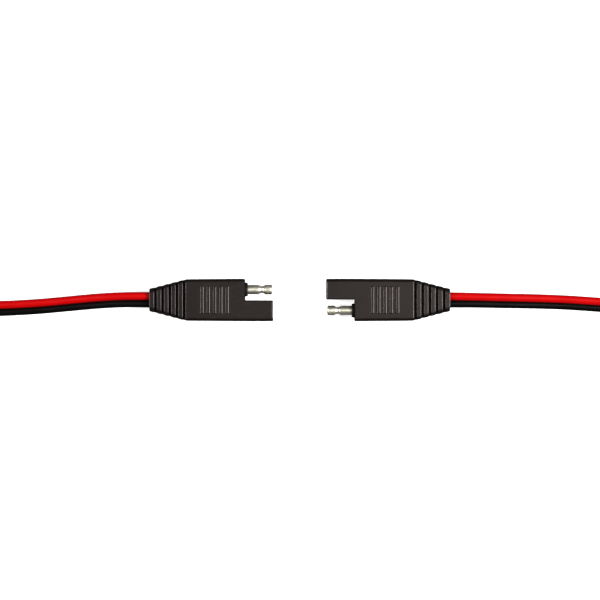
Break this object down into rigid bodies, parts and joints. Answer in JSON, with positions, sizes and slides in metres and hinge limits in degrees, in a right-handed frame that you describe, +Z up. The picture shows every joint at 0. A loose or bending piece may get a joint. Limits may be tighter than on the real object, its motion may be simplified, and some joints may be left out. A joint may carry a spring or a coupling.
{
  "type": "solar cable connector",
  "caption": "Two-pole quick connector pair for solar and battery cables: flat moulded halves with a bare bullet pin beside a shrouded socket, on red and black twin leads.",
  "frame": {"origin": "on the surface the halves lie on, midway between the two halves and on their middle plane", "axes": "+X along the mating axis from the left half to the right half, +Y towards the red leads' side, +Z up out of the broad faces"},
  "size_m": [0.4502, 0.0193, 0.0105],
  "materials": {
    "housing": "charcoal soft PVC, satin",
    "terminal_holder": "black moulded PVC",
    "terminal": "nickel-plated, bright",
    "red_jacket": "red PVC insulation, glossy",
    "black_jacket": "black PVC insulation, glossy",
    "strands": "bare stranded copper"
  },
  "bodies": {
    "left_half": {"left_housing": "housing", "left_terminal_holder": "terminal_holder", "left_pin_terminal": "terminal", "left_socket_terminal": "terminal", "left_red_jacket": "red_jacket", "left_black_jacket": "black_jacket", "left_red_strands": "strands", "left_black_strands": "strands"},
    "right_half": {"right_housing": "housing", "right_terminal_holder": "terminal_holder", "right_pin_terminal": "terminal", "right_socket_terminal": "terminal", "right_red_jacket": "red_jacket", "right_black_jacket": "black_jacket", "right_red_strands": "strands", "right_black_strands": "strands"}
  },
  "joints": [
    {"name": "mating_slide", "type": "slide", "parent": "left_half", "child": "right_half", "axis": [-1, 0, 0], "range_m": [0, 0.03565]}
  ]
}
